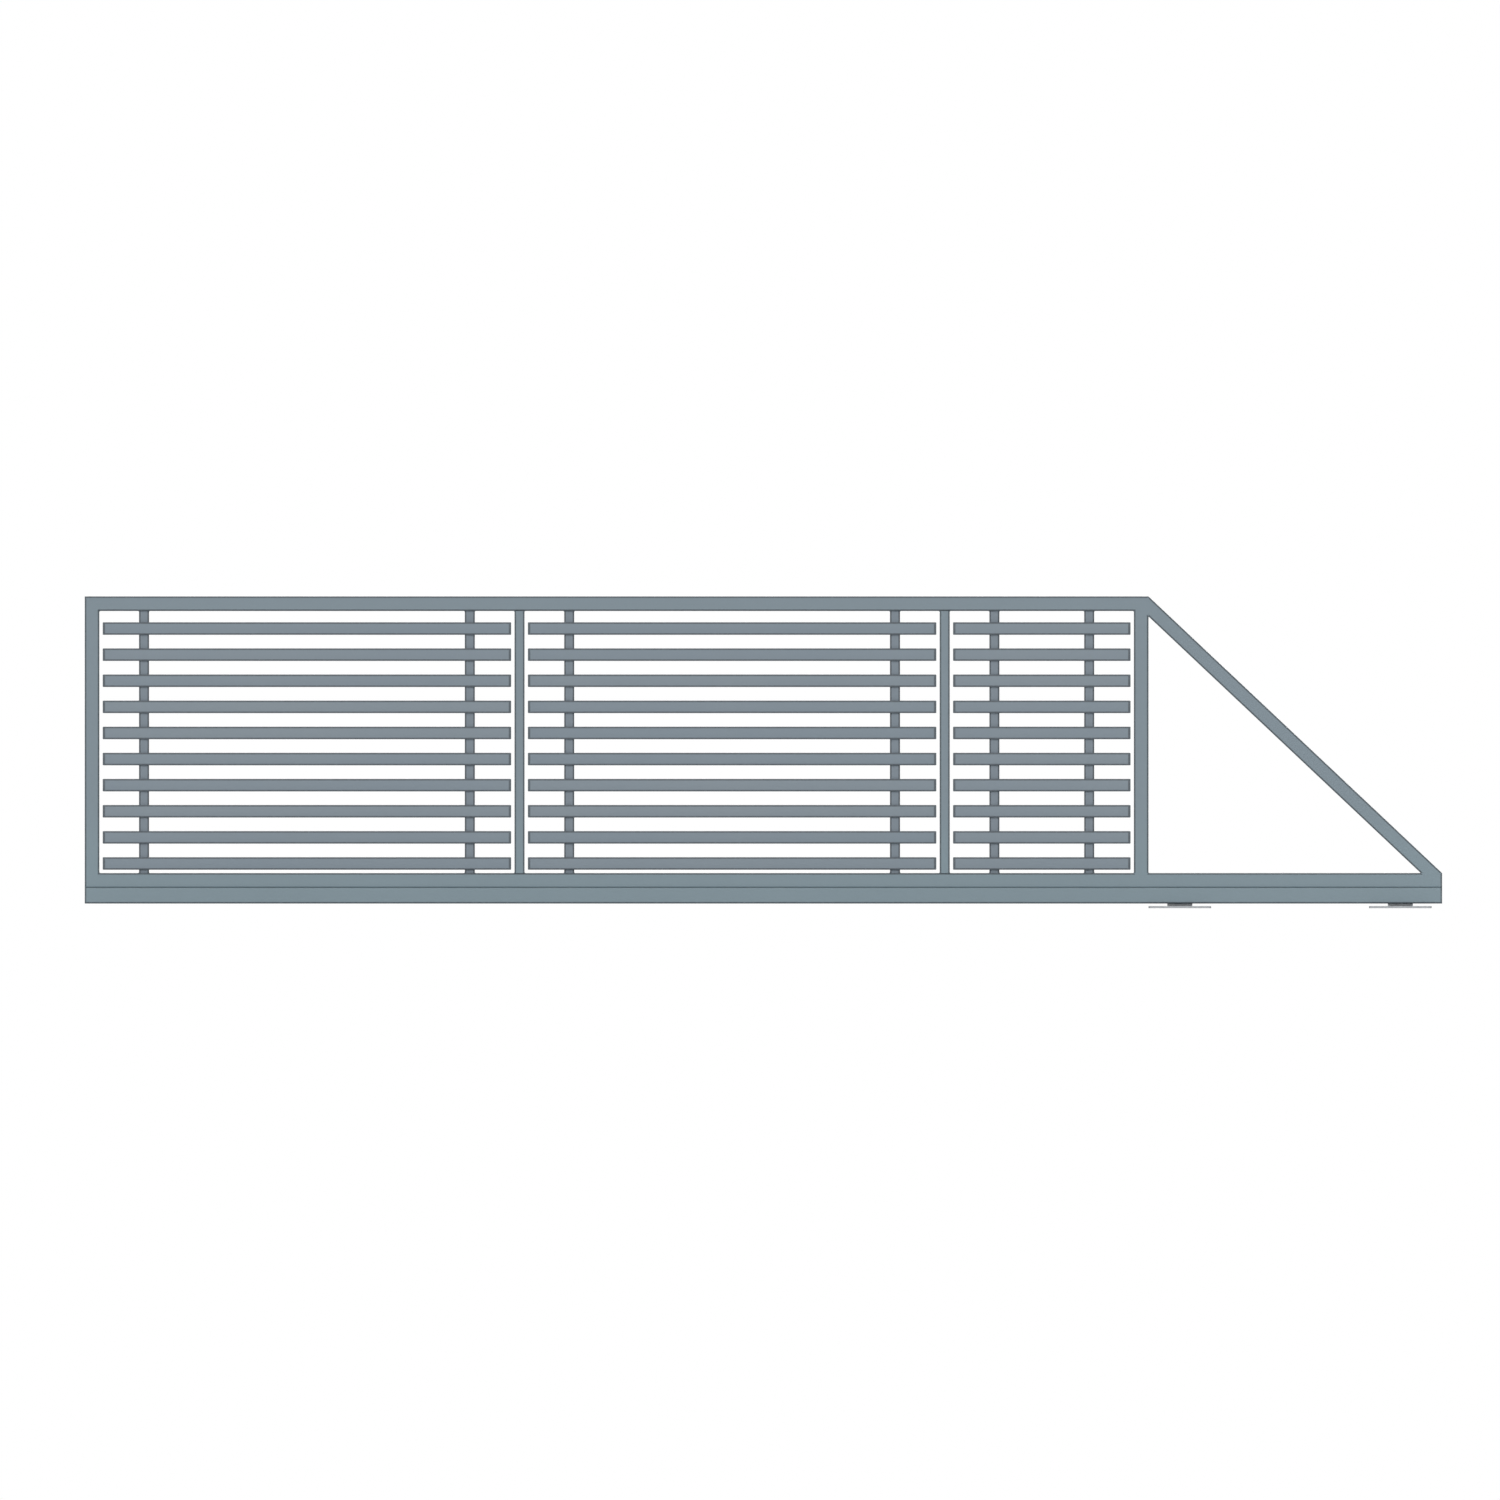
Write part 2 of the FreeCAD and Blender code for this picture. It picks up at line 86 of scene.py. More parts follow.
class Tree:
    """A node tree that is built from Python, one node at a time."""

    def __init__(self, tree: bpy.types.NodeTree) -> None:
        """Wraps an empty tree."""
        self.tree = tree

    def node(
        self,
        kind: str,
        settings: Mapping[str, Any] | None = None,
        sockets: Mapping[str | int, Any] | None = None,
    ) -> bpy.types.Node:
        """Adds one node.

        Args:
            kind: The node's type.
            settings: Properties of the node, set before its sockets.
            sockets: Values or wires for its inputs, by name or number.

        Returns:
            The new node.
        """
        made = self.tree.nodes.new(kind)
        for name, value in (settings or {}).items():
            setattr(made, name, value)
        for key, value in (sockets or {}).items():
            for single in value if isinstance(value, list) else [value]:
                self.feed(made.inputs[key], single)
        return made

    def feed(self, socket: bpy.types.NodeSocket, value: Any) -> None:
        """Gives an input a wire or a fixed value.

        Args:
            socket: The input.
            value: A wire to link to it, or what it holds.
        """
        if isinstance(value, Wire):
            self.tree.links.new(value.socket, socket)
        else:
            socket.default_value = value

    def wire(
        self,
        kind: str,
        settings: Mapping[str, Any] | None = None,
        sockets: Mapping[str | int, Any] | None = None,
        output: str | int = 0,
    ) -> "Wire":
        """Adds one node, as node does, and gives its output of that name or number."""
        return Wire(self, self.node(kind, settings, sockets).outputs[output])

    def maths(self, operation: str, *values: "Wire | float") -> "Wire":
        """Adds a Math node with this operation on the values, in order."""
        return self.wire("ShaderNodeMath", {"operation": operation}, dict(enumerate(values)))

    def vector_maths(self, operation: str, first: Any, second: Any, output: str = "Vector") -> "Wire":
        """Adds a Vector Math node with this operation on two vectors, and gives its Vector or its Value."""
        return self.wire("ShaderNodeVectorMath", {"operation": operation}, {0: first, 1: second}, output)

    def parts(self, vector: "Wire") -> "tuple[Wire, Wire, Wire]":
        """Splits a vector into its three numbers."""
        split = self.node("ShaderNodeSeparateXYZ", sockets={0: vector})
        return Wire(self, split.outputs[0]), Wire(self, split.outputs[1]), Wire(self, split.outputs[2])

    def vector(self, x: "Wire | float", y: "Wire | float", z: "Wire | float") -> "Wire":
        """Joins three numbers into a vector."""
        return self.wire("ShaderNodeCombineXYZ", sockets={0: x, 1: y, 2: z})


@dataclass(frozen=True)
class Wire:
    """One output in a node tree, which takes part in Python arithmetic."""

    tree: Tree
    socket: bpy.types.NodeSocket

    def __add__(self, other: "Wire | float") -> "Wire":
        """The sum with a wire or a number."""
        return self.tree.maths("ADD", self, other)

    def __sub__(self, other: "Wire | float") -> "Wire":
        """The difference from a wire or a number."""
        return self.tree.maths("SUBTRACT", self, other)

    def __rsub__(self, other: float) -> "Wire":
        """A number less this wire."""
        return self.tree.maths("SUBTRACT", other, self)

    def __mul__(self, other: "Wire | float") -> "Wire":
        """The product with a wire or a number."""
        return self.tree.maths("MULTIPLY", self, other)

    def __truediv__(self, other: "Wire | float") -> "Wire":
        """The quotient by a wire or a number."""
        return self.tree.maths("DIVIDE", self, other)

    def __pow__(self, other: float) -> "Wire":
        """This wire raised to a power."""
        return self.tree.maths("POWER", self, other)

    def __abs__(self) -> "Wire":
        """The size of the wire without its sign."""
        return self.tree.maths("ABSOLUTE", self)

    __radd__ = __add__
    __rmul__ = __mul__

    def least(self, other: "Wire | float") -> "Wire":
        """The smaller of two values."""
        return self.tree.maths("MINIMUM", self, other)

    def most(self, other: "Wire | float") -> "Wire":
        """The larger of two values."""
        return self.tree.maths("MAXIMUM", self, other)

    def wave(self) -> "Wire":
        """The sine of the wire, in radians."""
        return self.tree.maths("SINE", self)

    def step(self, low: float, high: float) -> "Wire":
        """A smooth step from 0 at low to 1 at high, which may lie below low."""
        settings = {"interpolation_type": "SMOOTHSTEP"}
        return self.tree.wire("ShaderNodeMapRange", settings, {0: self, 1: low, 2: high, 3: 0.0, 4: 1.0})


class Paint(Tree):
    """The node tree of one material, around one principled shader."""

    noise_roughness: float = 0.55

    def __init__(self, name: str, **constants: Any) -> None:
        """Makes the material.

        Args:
            name: The material's name.
            constants: Inputs of the shader that are the same all over, with _ for a space in a name.
        """
        self.material = bpy.data.materials.new(name)
        self.material.use_nodes = True
        super().__init__(self.material.node_tree)
        self.tree.nodes.clear()
        values = {key.replace("_", " "): value for key, value in constants.items()}
        self.shader = self.node("ShaderNodeBsdfPrincipled", sockets=values)
        lit = Wire(self, self.shader.outputs[0])
        self.node("ShaderNodeOutputMaterial", sockets={0: lit})
        self.place = self.wire("ShaderNodeTexCoord", output="Object")

    def facing(self) -> tuple[Wire, Wire, Wire]:
        """The surface's own normal, as three numbers."""
        return self.parts(self.wire("ShaderNodeNewGeometry", output="Normal"))

    def noise(self, size: float, layers: float = 2.0) -> Wire:
        """Soft noise on the piece's own coordinates.

        Args:
            size: The size of its patches, in metres.
            layers: How many finer layers it has.

        Returns:
            A value from 0 to 1, about 0.5 on average.
        """
        place = self.wire("ShaderNodeMapping", sockets={"Vector": self.place, "Scale": (1 / size,) * 3})
        sockets = {"Vector": place, "Scale": 1.0, "Detail": layers, "Roughness": self.noise_roughness}
        return self.wire("ShaderNodeTexNoise", sockets=sockets)

    def blend(self, amount: Wire, first: Wire | Colour, second: Wire | Colour) -> Wire:
        """Mixes two colours.

        Args:
            amount: 0 for the first and 1 for the second.
            first: A colour or a wire.
            second: A colour or a wire.

        Returns:
            The mixed colour.
        """
        ends = {
            key: value if isinstance(value, Wire) else (*value, 1.0)
            for key, value in ((6, first), (7, second))
        }
        settings = {"data_type": "RGBA", "clamp_factor": True}
        return self.wire("ShaderNodeMix", settings, {0: amount, **ends}, output=2)

    def shade(self, amount: Wire, colour: Colour, contrast: float) -> Wire:
        """Varies a colour by a share of itself, darker where the amount is 0 and lighter where it is 1."""
        return self.blend(amount, tint(colour, 1 - contrast), tint(colour, 1 + contrast))

    def set(self, name: str, value: Wire) -> None:
        """Feeds an input of the shader."""
        self.feed(self.shader.inputs[name], value)

    def emboss(self, height: Wire, depth: float) -> None:
        """Feeds the shader a relief of a height from 0 to 1, times a depth in metres."""
        sockets = {"Distance": depth, "Height": height}
        self.set("Normal", self.wire("ShaderNodeBump", None, sockets, "Normal"))


def tint(colour: Colour, factor: float) -> Colour:
    """Makes a colour lighter or darker by a factor."""
    return tuple(channel * factor for channel in colour)


@dataclass(frozen=True)
class TubeLine:
    """Where a tube, or a stack of like tubes, lies, and along which of its edges shade is painted as dark
    lines.
    """

    middle: Vector
    along: Vector
    across: Vector
    half_length: float
    half_face: float
    half_depth: float
    pitch: float = 0.0
    low_side: float = 1.0
    high_side: float = 1.0
    low_end: float = 0.0
    high_end: float = 0.0
    full_share: float = 0.6

    @classmethod
    def of_node(cls, name: str, **edges: float) -> "TubeLine":
        """Finds the line of a level or upright tube.

        Args:
            name: The tube's node.
            edges: How strongly the painted shade shows along its sides and ends.

        Returns:
            The tube's line.
        """
        low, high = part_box(name)
        half = (high - low) / 2
        level = half.x > half.z
        along, across = Vector((1, 0, 0)), Vector((0, 0, 1))
        if not level:
            along, across = across, along
        return cls((low + high) / 2, along, across, half.dot(along), half.dot(across), half.y, **edges)

    def edge(self, offset: Wire, half: float, low: float, high: float, width: float) -> Wire:
        """How far an offset is into the painted shade bands at the ends of a span, times how strongly each
        end shows.
        """
        start, full = half - width, half - self.full_share * width
        return high * offset.step(start, full) + low * offset.step(-start, -full)

    def mask(self, paint: "Paint", width: float) -> Wire:
        """Finds the bands of painted shade along the tube's edges.

        Args:
            paint: The material that asks.
            width: The width of a band on one face.

        Returns:
            1 at an edge, and 0 away from it.
        """
        offset = paint.vector_maths("SUBTRACT", paint.place, self.middle)
        run, rise, depth = (
            paint.vector_maths("DOT_PRODUCT", offset, axis, "Value")
            for axis in (self.along, self.across, Vector((0, 1, 0)))
        )
        if self.pitch:
            rise = paint.maths("WRAP", rise, self.pitch / 2, -self.pitch / 2)
        end = self.edge(run, self.half_length, self.low_end, self.high_end, width)
        side = self.edge(rise, self.half_face, self.low_side, self.high_side, width)
        face = self.edge(depth, self.half_depth, 1.0, 1.0, width)
        return (end * face).most(side * face).most(end * side)


@dataclass(frozen=True)
class PowderCoat:
    """Fine-textured powder coat, with shade painted as dark bands along the edges of a tube, where its
    rounded corners turn from the light.
    """

    colour: Colour
    specular: float = 0.3
    # How dark and how wide the painted shade along the edges is, and the noise of the wear fields that makes
    # it patchy.
    painted_shade_tone: float = 0.42
    painted_shade_width: float = 0.0095
    wear_size: float = 0.012
    shade_patch_range: tuple[float, float] = (0.2, 0.6)
    wear_depth: float = 0.25
    cloud_size: float = 0.8
    cloud_depth: float = 0.035
    grain_size: float = 0.0009
    grain_share: float = 0.4
    peel_size: float = 0.006
    relief: float = 0.00012
    roughness: float = 0.5
    peel_roughness: float = 0.12
    dust: Colour = (0.42, 0.40, 0.37)
    dust_amount: float = 0.22
    dust_size: float = 0.05
    dust_range: tuple[float, float] = (0.3, 0.75)
    dust_slope: tuple[float, float] = (0.6, 0.95)
    dust_roughness: float = 0.15
    tone_spread: float = 0.0
    warmth: float = 0.0
    foot_colour: Colour | None = None
    foot_rise: tuple[float, float] = (0.17, 0.60)

    def material(self, name: str, line: TubeLine | None = None) -> bpy.types.Material:
        """Builds the coat.

        Args:
            name: The material's name.
            line: Where the coated tube lies, if shade is painted along its edges.

        Returns:
            The material, with painted shade along its edges, clouds, dust and grain.
        """
        paint = Paint(name, Specular_IOR_Level=self.specular)
        _, _, up = paint.facing()
        cloud = paint.noise(self.cloud_size, layers=3.0)
        if self.tone_spread:
            tone = paint.wire("ShaderNodeAttribute", {"attribute_name": "tone"}, output="Fac")
            cloud = cloud + (tone - 0.5) * self.tone_spread
        colour = self.clouded(paint, cloud, self.colour)
        if self.foot_colour:
            _, _, height = paint.parts(paint.place)
            foot = self.clouded(paint, cloud, self.foot_colour)
            colour = paint.blend(height.step(*self.foot_rise), foot, colour)
        # Painted shade: dark bands along the tube's edges, made patchy by the wear noise.
        if line:
            worn = paint.noise(self.wear_size, layers=3.0).step(*self.shade_patch_range)
            edge = line.mask(paint, self.painted_shade_width) * (1 - self.wear_depth + self.wear_depth * worn)
            colour = paint.blend(edge, colour, tint(self.colour, self.painted_shade_tone))
        patches = paint.noise(self.dust_size, layers=4.0).step(*self.dust_range)
        settled = up.step(*self.dust_slope) * patches
        colour = paint.blend(settled * self.dust_amount, colour, self.dust)
        paint.set("Base Color", colour)
        grain = paint.noise(self.grain_size, layers=1.0)
        peel = paint.noise(self.peel_size, layers=1.0)
        rough = self.roughness + self.peel_roughness * peel + self.dust_roughness * settled
        paint.set("Roughness", rough)
        paint.emboss(self.grain_share * grain + (1 - self.grain_share) * peel, self.relief)
        return paint.material

    def clouded(self, paint: Paint, cloud: Wire, colour: Colour) -> Wire:
        """Varies a colour from patch to patch.

        Args:
            paint: The material that asks.
            cloud: How light each place is, about 0.5 on average.
            colour: The colour to vary.

        Returns:
            The colour, darker and cooler in some patches, lighter and warmer in others.
        """
        dark, light = tint(colour, 1 - self.cloud_depth), tint(colour, 1 + self.cloud_depth)
        cool = (dark[0] * (1 - self.warmth), dark[1], dark[2] * (1 + self.warmth))
        warm = (light[0] * (1 + self.warmth), light[1], light[2] * (1 - self.warmth))
        return paint.blend(cloud, cool, warm)


@dataclass(frozen=True)
class MouldedPlastic:
    """Weathered moulded plastic with a spark-eroded surface."""

    colour: Colour
    specular: float = 0.4
    bleach_size: float = 0.03
    bleach_depth: float = 0.12
    grain_size: float = 0.0012
    relief: float = 0.0001
    roughness: float = 0.55
    grain_roughness: float = 0.15

    def material(self, name: str) -> bpy.types.Material:
        """Builds the plastic.

        Args:
            name: The material's name.

        Returns:
            The material, bleached in patches and finely grained.
        """
        paint = Paint(name, Specular_IOR_Level=self.specular)
        bleach = paint.noise(self.bleach_size, layers=3.0)
        paint.set("Base Color", paint.shade(bleach, self.colour, self.bleach_depth))
        grain = paint.noise(self.grain_size)
        paint.set("Roughness", self.roughness + self.grain_roughness * grain)
        paint.emboss(grain, self.relief)
        return paint.material


@dataclass(frozen=True)
class ZincSteel:
    """Hot-dip zinc with its crystal spangle."""

    colour: Colour = (0.36, 0.375, 0.39)
    metallic: float = 0.35
    spangle_size: float = 0.009
    spangle_share: float = 0.5
    dull_size: float = 0.06
    contrast: float = 0.2
    relief: float = 0.0001
    roughness: float = 0.48
    dull_roughness: float = 0.22
    spangle_roughness: float = 0.08

    def material(self, name: str) -> bpy.types.Material:
        """Builds the zinc.

        Args:
            name: The material's name.

        Returns:
            The material, with crystals of different grey and dull runs between them.
        """
        paint = Paint(name, Metallic=self.metallic)
        settings = {"feature": "F1"}
        sockets = {"Vector": paint.place, "Scale": 1 / self.spangle_size}
        cell = paint.wire("ShaderNodeTexVoronoi", settings, sockets, output="Color")
        crystal, _, _ = paint.parts(cell)
        dull = paint.noise(self.dull_size, layers=4.0)
        grey = self.spangle_share * crystal + (1 - self.spangle_share) * dull
        paint.set("Base Color", paint.shade(grey, self.colour, self.contrast))
        rough = self.roughness + self.dull_roughness * dull + self.spangle_roughness * crystal
        paint.set("Roughness", rough)
        paint.emboss(dull, self.relief)
        return paint.material


@dataclass(frozen=True)
class TurnedFinish:
    """A turned face: fine rings about each axle of a row along X."""

    colour: Colour
    metallic: float
    first_axle: Vector
    pitch: float
    ring_size: float = 0.0008
    wear_size: float = 0.01
    wear_depth: float = 0.15
    relief: float = 0.00008
    roughness: float = 0.35
    wear_roughness: float = 0.2
    ring_roughness: float = 0.08

    def material(self, name: str) -> bpy.types.Material:
        """Builds the finish.

        Args:
            name: The material's name.

        Returns:
            The material, with rings round the nearest axle of the row.
        """
        paint = Paint(name, Metallic=self.metallic)
        x, _, z = paint.parts(paint.place)
        along = paint.maths("WRAP", x - self.first_axle.x, self.pitch / 2, -self.pitch / 2)
        rise = z - self.first_axle.z
        radius = (along * along + rise * rise) ** 0.5
        rings = 0.5 + 0.5 * (radius * (2 * math.pi / self.ring_size)).wave()
        worn = paint.noise(self.wear_size, layers=3.0)
        paint.set("Base Color", paint.shade(worn, self.colour, self.wear_depth))
        rough = self.roughness + self.wear_roughness * worn + self.ring_roughness * rings
        paint.set("Roughness", rough)
        paint.emboss(rings, self.relief)
        return paint.material


class Recipe(Tree):
    """A geometry node tree with named sizes, whose result becomes a plain mesh."""

    kinds: Mapping[type, str] = {
        float: "NodeSocketFloat",
        int: "NodeSocketInt",
        Vector: "NodeSocketVector",
    }
    corner_points: int = 5
    sharp_edge: float = 35.0

    def __init__(self, name: str, takes_mesh: bool = False) -> None:
        """Makes the empty tree.

        Args:
            name: The tree's name.
            takes_mesh: Whether the tree works on the mesh of its object.
        """
        super().__init__(bpy.data.node_groups.new(name, "GeometryNodeTree"))
        self.values: dict[str, float | int | Vector] = {}
        self.tree.interface.new_socket("Geometry", in_out="OUTPUT", socket_type="NodeSocketGeometry")
        if takes_mesh:
            self.tree.interface.new_socket("Geometry", in_out="INPUT", socket_type="NodeSocketGeometry")
        self.entry = self.tree.nodes.new("NodeGroupInput")
        self.exit = self.tree.nodes.new("NodeGroupOutput")

    def mesh(self) -> Wire:
        """The mesh of the object that the tree works on."""
        return Wire(self, self.entry.outputs["Geometry"])

    def sizes(self, values: Mapping[str, float | int | Vector]) -> list[Wire]:
        """Adds a named input for each size.

        Args:
            values: The sizes, counts and places, by name.

        Returns:
            The inputs as wires, in the same order.
        """
        for name, value in values.items():
            kind = self.kinds[type(value)]
            socket = self.tree.interface.new_socket(name, in_out="INPUT", socket_type=kind)
            self.values[socket.identifier] = value
        return [Wire(self, self.entry.outputs[name]) for name in values]

    def bar(self, width: Wire, height: Wire, corner: Wire, start: Wire, end: Wire) -> Wire:
        """A closed bar of rounded rectangular section between two points on a line along X.

        Args:
            width: The section's size along Y.
            height: The section's size along Z.
            corner: The radius of its corners.
            start: The first end's centre.
            end: The second end's centre.

        Returns:
            The bar's mesh.
        """
        sides = {"Width": width, "Height": height}
        outline = self.wire("GeometryNodeCurvePrimitiveQuadrilateral", {"mode": "RECTANGLE"}, sides)
        rounding = {"Curve": outline, "Count": self.corner_points, "Radius": corner, "Limit Radius": True}
        outline = self.wire("GeometryNodeFilletCurve", {"mode": "POLY"}, rounding)
        ends = {"Start": start, "End": end}
        path = self.wire("GeometryNodeCurvePrimitiveLine", {"mode": "POINTS"}, ends)
        return self.sweep(path, outline)

    def hollow(self, mesh: Wire, core: Wire) -> Wire:
        """Cuts a core out of a mesh.

        Args:
            mesh: The mesh to hollow.
            core: What is taken out of it.

        Returns:
            The hollow mesh.
        """
        settings = {"operation": "DIFFERENCE", "solver": "EXACT"}
        cut = self.wire("GeometryNodeMeshBoolean", settings, {"Mesh 1": mesh, "Mesh 2": core})
        return self.smooth(cut)

    def sweep(
        self, path: Wire, outline: Wire, scale: Wire | float = 1.0, sharp: float = sharp_edge
    ) -> Wire:
        """Sweeps an outline, at a scale, along a path, and closes and smooths the result."""
        sockets = {"Curve": path, "Profile Curve": outline, "Scale": scale, "Fill Caps": True}
        return self.smooth(self.wire("GeometryNodeCurveToMesh", None, sockets), sharp)

    def smooth(self, mesh: Wire, sharp: float = sharp_edge) -> Wire:
        """Shades a mesh smooth, apart from its sharp edges.

        Args:
            mesh: The mesh.
            sharp: The angle, in degrees, from which an edge shows.

        Returns:
            The shaded mesh.
        """
        faces = {"Geometry": mesh, "Shade Smooth": True}
        rounded = self.wire("GeometryNodeSetShadeSmooth", {"domain": "FACE"}, faces)
        angle = self.wire("GeometryNodeInputMeshEdgeAngle")
        limit = {0: angle, 1: math.radians(sharp)}
        test = {"data_type": "FLOAT", "operation": "GREATER_THAN"}
        creases = self.wire("FunctionNodeCompare", test, limit)
        edges = {"Geometry": rounded, "Selection": creases, "Shade Smooth": False}
        return self.wire("GeometryNodeSetShadeSmooth", {"domain": "EDGE"}, edges)

    def row(self, count: Wire | int, start: Wire, step: Wire) -> Wire:
        """A row of points from a start, each a step further."""
        sockets = {"Count": count, "Start Location": start, "Offset": step}
        return self.wire("GeometryNodeMeshLine", {"mode": "OFFSET"}, sockets)

    def scatter(self, points: Wire, shape: Wire, **sockets: Any) -> Wire:
        """Puts a shape at every point, with any other inputs of the node."""
        sockets |= {"Points": points, "Instance": shape}
        return self.wire("GeometryNodeInstanceOnPoints", None, sockets)

    def random(self, low: float, high: float, seed: int) -> Wire:
        """A random number for each element, the same on every run."""
        sockets = {2: low, 3: high, "Seed": seed}
        return self.wire("FunctionNodeRandomValue", {"data_type": "FLOAT"}, sockets, output=1)

    def join(self, *pieces: Wire) -> Wire:
        """Joins geometries into one."""
        return self.wire("GeometryNodeJoinGeometry", None, {0: list(pieces)})

    def serve(self, geometry: Wire, material: bpy.types.Material) -> None:
        """Ends the tree.

        Args:
            geometry: What the tree makes.
            material: The material of all of it.
        """
        real = self.wire("GeometryNodeRealizeInstances", None, {"Geometry": geometry})
        dressed = self.wire("GeometryNodeSetMaterial", None, {"Geometry": real, "Material": material})
        self.feed(self.exit.inputs[0], dressed)

    def make(self, name: str, base: bpy.types.Mesh | None = None) -> bpy.types.Object:
        """Runs the tree on a new object and keeps the result as a plain mesh.

        Args:
            name: The object's name.
            base: The mesh that the tree works on, if it takes one.

        Returns:
            The finished object, with no modifier left.
        """
        made = bpy.data.objects.new(name, base or bpy.data.meshes.new(f"{name}_base"))
        bpy.context.scene.collection.objects.link(made)
        modifier = made.modifiers.new(self.tree.name, "NODES")
        modifier.node_group = self.tree
        for identifier, value in self.values.items():
            modifier[identifier] = value
        depsgraph = bpy.context.evaluated_depsgraph_get()
        result = bpy.data.meshes.new_from_object(made.evaluated_get(depsgraph), depsgraph=depsgraph)
        made.modifiers.remove(modifier)
        made.data = result
        result.name = name
        return made


def settle(piece: bpy.types.Object, body: Body, slot: Slot, *nodes: str) -> None:
    """Joins a finished piece to the part.

    Args:
        piece: The finished object.
        body: The body that it moves with.
        slot: The record's material slot that it belongs to; not used.
        nodes: The solids that it stands for, if any.
    """
    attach(piece, body.value)
    if nodes:
        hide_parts(*nodes)
    LOG.info("%s: %d faces on %s", piece.name, len(piece.data.polygons), body.value)


def dress(material: bpy.types.Material, names: Iterable[str]) -> None:
    """Gives solids of the frame a finish.

    Args:
        material: The finish.
        names: The solids' names.
    """
    for name in names:
        for slot in frame["nodes"][name].material_slots:
            slot.material = material
        LOG.info("%s: %s", name, material.name)


@dataclass
class Palette:
    """The finishes that several sub-assemblies share."""

    frame: PowderCoat = PowderCoat((0.211, 0.264, 0.301), foot_colour=(0.215, 0.281, 0.317))
    slat: PowderCoat = PowderCoat((0.217, 0.262, 0.301), tone_spread=0.6, warmth=0.02)
    support: PowderCoat = PowderCoat((0.220, 0.262, 0.303))

    def __post_init__(self) -> None:
        """Makes the materials that are the same wherever they are used."""
        self.weld = self.frame.material("weld_coat")
        self.plug = MouldedPlastic((0.105, 0.128, 0.145)).material("plug_plastic")
        self.zinc = ZincSteel().material("zinc_plate")
        self.zinc_weld = ZincSteel((0.25, 0.26, 0.27), metallic=0.0).material("zinc_weld")


